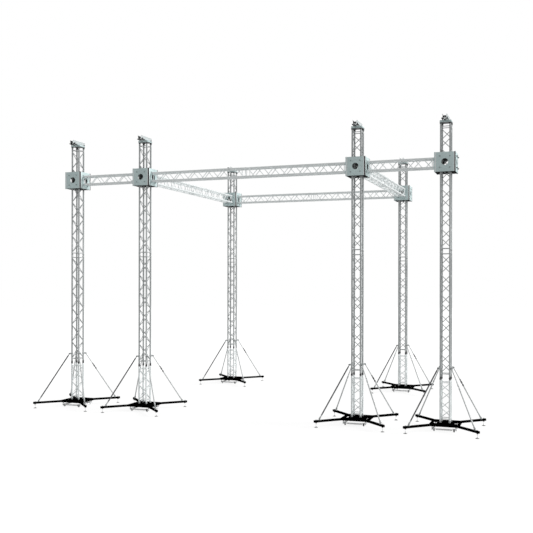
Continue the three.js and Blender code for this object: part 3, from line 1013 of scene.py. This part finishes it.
# Pulleys: zinc-plated cast chain wheels with a rounded groove between two flanges and a
# hub proud of each face, turning free on their axles.
pulley_iron = metal_finish(
    "pulley_iron", (0.82, 0.83, 0.83), (0.90, 0.91, 0.91), (0.94, 0.94, 0.93), 0.1, 0.4, 0.62,
    grain=320, patch=18, scuff_start=0.58, bump=0.0004, rub=0.002,
)
half_pulley = [
    (0.0109, -0.036), (0.0175, -0.036), (0.0185, -0.033), (0.0225, -0.031), (0.0265, -0.033),
    (0.0300, -0.0335), (0.0320, -0.0310), (0.0320, -0.0270), (0.0285, -0.0190),
    (0.0245, -0.0090),
]
other_half = [(r, -h) for r, h in reversed(half_pulley)]
for end, label in ((-1, "front"), (1, "rear")):
    pulley = turned(half_pulley + [(0.0230, 0.0)] + other_half, 32, bored=True)
    move_to(pulley, (0, end * axle_offset, axle_height), (0, quarter_turn, 0))
    stand_at_towers(
        [pulley], f"chain_wheel_{label}", pulley_iron, f"pulley_{label}"
    )

# Sleeve block plates: four coupling plates of 10 mm blue-grey aluminium with a round
# window, side edges folded back with a near-white strip along the fold as a painted
# highlight, and two aluminium posts in the left corners.
roof_height = 6.960
plate_reach = 0.275
plate_thickness = 0.010
plate_flat = 0.446
plate_height = 0.506
flange_out = 0.022
flange_in = 0.012
window_radius = 0.087
strip_offset = 0.2365
strip_size = (0.018, 0.004, plate_height - 0.002)
strip_depth = -plate_reach + 0.0055
post_reach = 0.259
post_size = (0.027, 0.027, plate_height + 0.012)


def on_four_sides(part):
    """A part made for the front of a block, and a copy for each of its other sides."""
    return [part] + [copy_of(part, turn=(0, 0, quarter * quarter_turn)) for quarter in (1, 2, 3)]


def corner_posts(side):
    """The two box tube posts at the left or right corners of a block."""
    places = [(side * post_reach, end * post_reach, roof_height) for end in (-1, 1)]
    return [box_tube(post_size, place, corner=0.003, depth=0.004) for place in places]


put_down_all()
bpy.ops.mesh.primitive_plane_add(size=1)
plate = bpy.context.object
plate.scale = (plate_flat, plate_height, 1)
settle(plate)
for side in (-1, 1):
    pick_edges(plate, lambda a, b: min(a.x * side, b.x * side) > plate_flat * 0.49)
    draw_out((side * flange_out, 0, -flange_in))
    close_part()
reshape(plate, "SOLIDIFY", thickness=plate_thickness, offset=-1)
window_cutter = turned([(window_radius, -0.05), (window_radius, 0.05)], 48)
put_down_all()
plate.select_set(True)
bpy.context.view_layer.objects.active = plate
reshape(plate, "BOOLEAN", operation="DIFFERENCE", object=window_cutter)
clear_away(window_cutter)
reshape(plate, "BEVEL", width=0.0015, segments=2, limit_method="ANGLE", angle_limit=0.5)
move_to(plate, (0, -plate_reach, roof_height), (quarter_turn, 0, 0))
block_parts = on_four_sides(plate) + corner_posts(-1)
stand_at_towers(
    block_parts, "coupling_plates", plate_aluminium, "sleeve_block"
)
# Near-white strips along each fold: a painted highlight on the folded edges.
highlight_strips = []
for side in (-1, 1):
    strip_place = (side * strip_offset, strip_depth, roof_height)
    highlight_strips += on_four_sides(bar(strip_size, strip_place, corner=0.001, rounds=1))
highlight_strip_model = welded(highlight_strips, "plate_edge_highlights")

# Guide plates and rollers: black plates close the block above and below, their near-black
# also painted shade under the block; black posts stand in its right corners as painted
# shade; dark grey sheets stand inside the plates round their windows as painted shade; and
# in each corner a waisted nylon roller in a bracket keeps the block off the chord.
# Black steel whose near-black is also painted shade under and inside the block.
guide_black_and_shade = metal_finish(
    "guide_black_and_shade", (0.002,) * 3, (0.005,) * 3, (0.03,) * 3, 0.0, 0.6, 0.8,
    grain=380, patch=8, scuff_start=0.7, bump=0.0003, rub=0.0015, shine=0.01,
)
guide_half = 0.264
guide_sheet = 0.012
mouth_half = 0.148
roller_waist = 0.019
roller_gap = 0.002
roller_reach = chord_reach + chord_radius + roller_gap + roller_waist
roller_drop = 0.048
bracket_size = (0.046, 0.005, 0.076)
bracket_shift = 0.030
bracket_rise = 0.008
shade_sheet_depth = -plate_reach + plate_thickness + 0.0015
upright_shade_sheet = (0.130, 0.003, 0.478)
upright_shade_sheet_shift = 0.155
level_shade_sheet = (0.180, 0.003, 0.149)
level_shade_sheet_shift = 0.1645
half_roller = [
    (0.008, -0.026), (0.024, -0.026), (0.026, -0.024), (0.026, -0.020), (0.0205, -0.010),
]
other_half = [(r, -h) for r, h in reversed(half_roller)]
roller = turned(half_roller + [(roller_waist, 0.0)] + other_half, 24)
guide_parts = []
for level in (-1, 1):
    height = roof_height + level * (plate_height / 2 - 0.007)
    for quarter in quarters:
        long = 2 * guide_half if quarter % 2 else 2 * mouth_half
        middle = on_side(quarter, (guide_half + mouth_half) / 2, height)
        turn = (0, 0, (quarter + 1) * quarter_turn)
        guide = (long, guide_half - mouth_half, guide_sheet)
        guide_parts.append(bar(guide, middle, turn, corner=0.001))
        angle = eighth_turn + quarter * quarter_turn
        roller_place = on_diagonal(quarter, roller_reach, height - level * roller_drop)
        guide_parts.append(copy_of(roller, roller_place, (quarter_turn, 0, angle)))
        for side in (-1, 1):
            bracket_place = roller_place + on_diagonal(quarter + 1, side * bracket_shift)
            bracket_place.z += level * bracket_rise
            guide_parts.append(bar(bracket_size, bracket_place, (0, 0, angle), corner=0.001))
clear_away(roller)
# The posts in the right corners go with the black guides as painted shade; the left ones are
# aluminium.
guide_model = welded(guide_parts + corner_posts(1), "mast_guides")
# Dark grey sheets inside the plates round their windows, as painted shade inside the block.
shade_sheets = []
for side in (-1, 1):
    for size, x, z in (
        (upright_shade_sheet, side * upright_shade_sheet_shift, 0),
        (level_shade_sheet, 0, side * level_shade_sheet_shift),
    ):
        shade_sheet = bar(size, (x, shade_sheet_depth, roof_height + z), corner=0.001, rounds=1)
        shade_sheets += on_four_sides(shade_sheet)
shade_sheet_model = welded(shade_sheets, "plate_shade_sheets")

# Coupler sockets: on each coupling plate four steel bosses with a deep bore, where a
# span or another truss is bolted on. On the free ends of the wings they stand out. Each
# block is then closed with the guides, the painted shade sheets and the painted highlight
# strips made above.
socket_steel = metal_finish(
    "socket_steel", (0.13, 0.15, 0.15), (0.19, 0.21, 0.21), (0.5,) * 3, 0.3, 0.34, 0.5,
    grain=400, patch=14, rub=0.0015,
)
boss_shift = 0.128
boss_rise = 0.147
socket_model = turned([
    (0.010, -0.004), (0.010, 0.005), (0.0165, 0.006), (0.018, 0.0045), (0.018, -0.002),
], 24)
stub_model = turned([
    (0.010, 0.010), (0.010, 0.040), (0.0165, 0.040), (0.018, 0.0375), (0.018, -0.002),
], 24)
for tower, place in towers.items():
    fitted = []
    for quarter in quarters:
        free = (tower, quarter) in (("right_wing", 0), ("left_wing", 2))
        model = stub_model if free else socket_model
        for across in (-1, 1):
            for level in (-1, 1):
                spot = Vector(place) + on_side(quarter, plate_reach, roof_height)
                spot += on_side(quarter + 1, across * boss_shift, level * boss_rise)
                fitted.append(copy_of(model, spot, (0, quarter_turn, quarter * quarter_turn)))
    sockets = welded(fitted, "coupler_sockets")
    finished(sockets, f"coupler_sockets_{tower}", socket_steel, "roof_grid")
    for model, name, finish, slot in (
        (guide_model, "mast_guides", guide_black_and_shade, "black_steel"),
        (shade_sheet_model, "plate_shade_sheets", grey_coat_and_painted_shade, "black_steel"),
        (highlight_strip_model, "plate_edge_highlights", pale_tube_painted_light, "plate_aluminium"),
    ):
        finished(copy_of(model, place), f"{name}_{tower}", finish, "roof_grid")
clear_away(socket_model, stub_model, guide_model, shade_sheet_model, highlight_strip_model)

# Roof spans: lengths of the same box truss laid on their side, two in a row on each side
# of the roof and a shorter one in each wing, bolted to the coupling plates.
span_margins = (0.080, 0.080)
span_model = welded(truss_length(3.0, span_margins, 12), "span_model")
wing_model = welded(truss_length(1.82, span_margins, 7), "wing_model")
spans = (
    "wing_span_left", "wing_span_right", "front_span_1", "front_span_2", "rear_span_1",
    "rear_span_2", "side_span_left_1", "side_span_left_2", "side_span_right_1",
    "side_span_right_2",
)
for span in spans:
    span_low, span_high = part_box(span)
    start = (span_low + span_high) / 2
    runs_back = span.startswith("side")
    if runs_back:
        start.y = span_low.y
    else:
        start.x = span_low.x
    model = wing_model if span.startswith("wing") else span_model
    piece = copy_of(model, start, (0, quarter_turn, quarter_turn if runs_back else 0))
    finish = lit_lengthwise_aluminium if runs_back else lit_crosswise_aluminium
    finished(piece, f"truss_{span}", finish, node=span)
clear_away(span_model, wing_model)

# The floor: a pale studio floor that takes the shadows and fades out into the white
# background beyond the stage.
put_down_all()
bpy.ops.mesh.primitive_circle_add(
    vertices=64, radius=90, fill_type="NGON", location=(0, 0, -0.0005)
)
floor = bpy.context.object
floor.name = "studio_floor"
pale_floor = bpy.data.materials.new("pale_floor")
pale_floor.use_nodes = True
tree = pale_floor.node_tree


def shown_to_camera(tree):
    """One on the rays that the camera sees straight, mirrored or through something."""
    rays = add_node(tree, "ShaderNodeLightPath").outputs
    seen = rays["Is Camera Ray"]
    for kind in ("Is Glossy Ray", "Is Transmission Ray"):
        seen = combined(tree, "MAXIMUM", seen, rays[kind])
    return seen


spot = add_node(tree, "ShaderNodeTexCoord")
distance = add_node(
    tree, "ShaderNodeVectorMath", {0: spot.outputs["Object"]}, operation="LENGTH"
).outputs["Value"]
fade = spread(tree, distance, 5.0, 12.0, 0.8, 1.0, interpolation_type="SMOOTHSTEP")
falling = spread(tree, distance, 6.0, 11.0, 0.80, 0.40)
floor_surface = wire(tree, tree.nodes["Principled BSDF"], {
    "Roughness": 0.9, "Base Color": falling,
})
white = add_node(tree, "ShaderNodeEmission", {"Strength": 1.1})
mixed = add_node(tree, "ShaderNodeMixShader", {
    0: combined(tree, "MULTIPLY", shown_to_camera(tree), fade),
    1: floor_surface.outputs[0], 2: white.outputs[0],
})
wire(tree, tree.nodes["Material Output"], {"Surface": mixed.outputs[0]})
floor.data.materials.append(pale_floor)

# The light: an even white room at a plain level, and one soft high lamp behind the right
# of the stage that draws bright edges on that side.
room = bpy.data.worlds.new("white_room")
bpy.context.scene.world = room
room.use_nodes = True
tree = room.node_tree
even_light = wire(tree, tree.nodes["Background"], {"Color": (1, 1, 1, 1), "Strength": 0.5})
backdrop = add_node(tree, "ShaderNodeBackground", {"Color": (1, 1, 1, 1), "Strength": 1})
mixed = add_node(tree, "ShaderNodeMixShader", {
    0: shown_to_camera(tree), 1: even_light.outputs[0], 2: backdrop.outputs[0],
})
wire(tree, tree.nodes["World Output"], {"Surface": mixed.outputs[0]})

lamp_data = bpy.data.lights.new("high_lamp", "SUN")
lamp_data.energy = 2.4
lamp_data.angle = 0.35
lamp = bpy.data.objects.new("high_lamp", lamp_data)
lamp.location = (10, 8, 16)
lamp.rotation_euler = Vector((0.85, 0.25, 0.46)).to_track_quat("Z", "Y").to_euler()
bpy.context.scene.collection.objects.link(lamp)
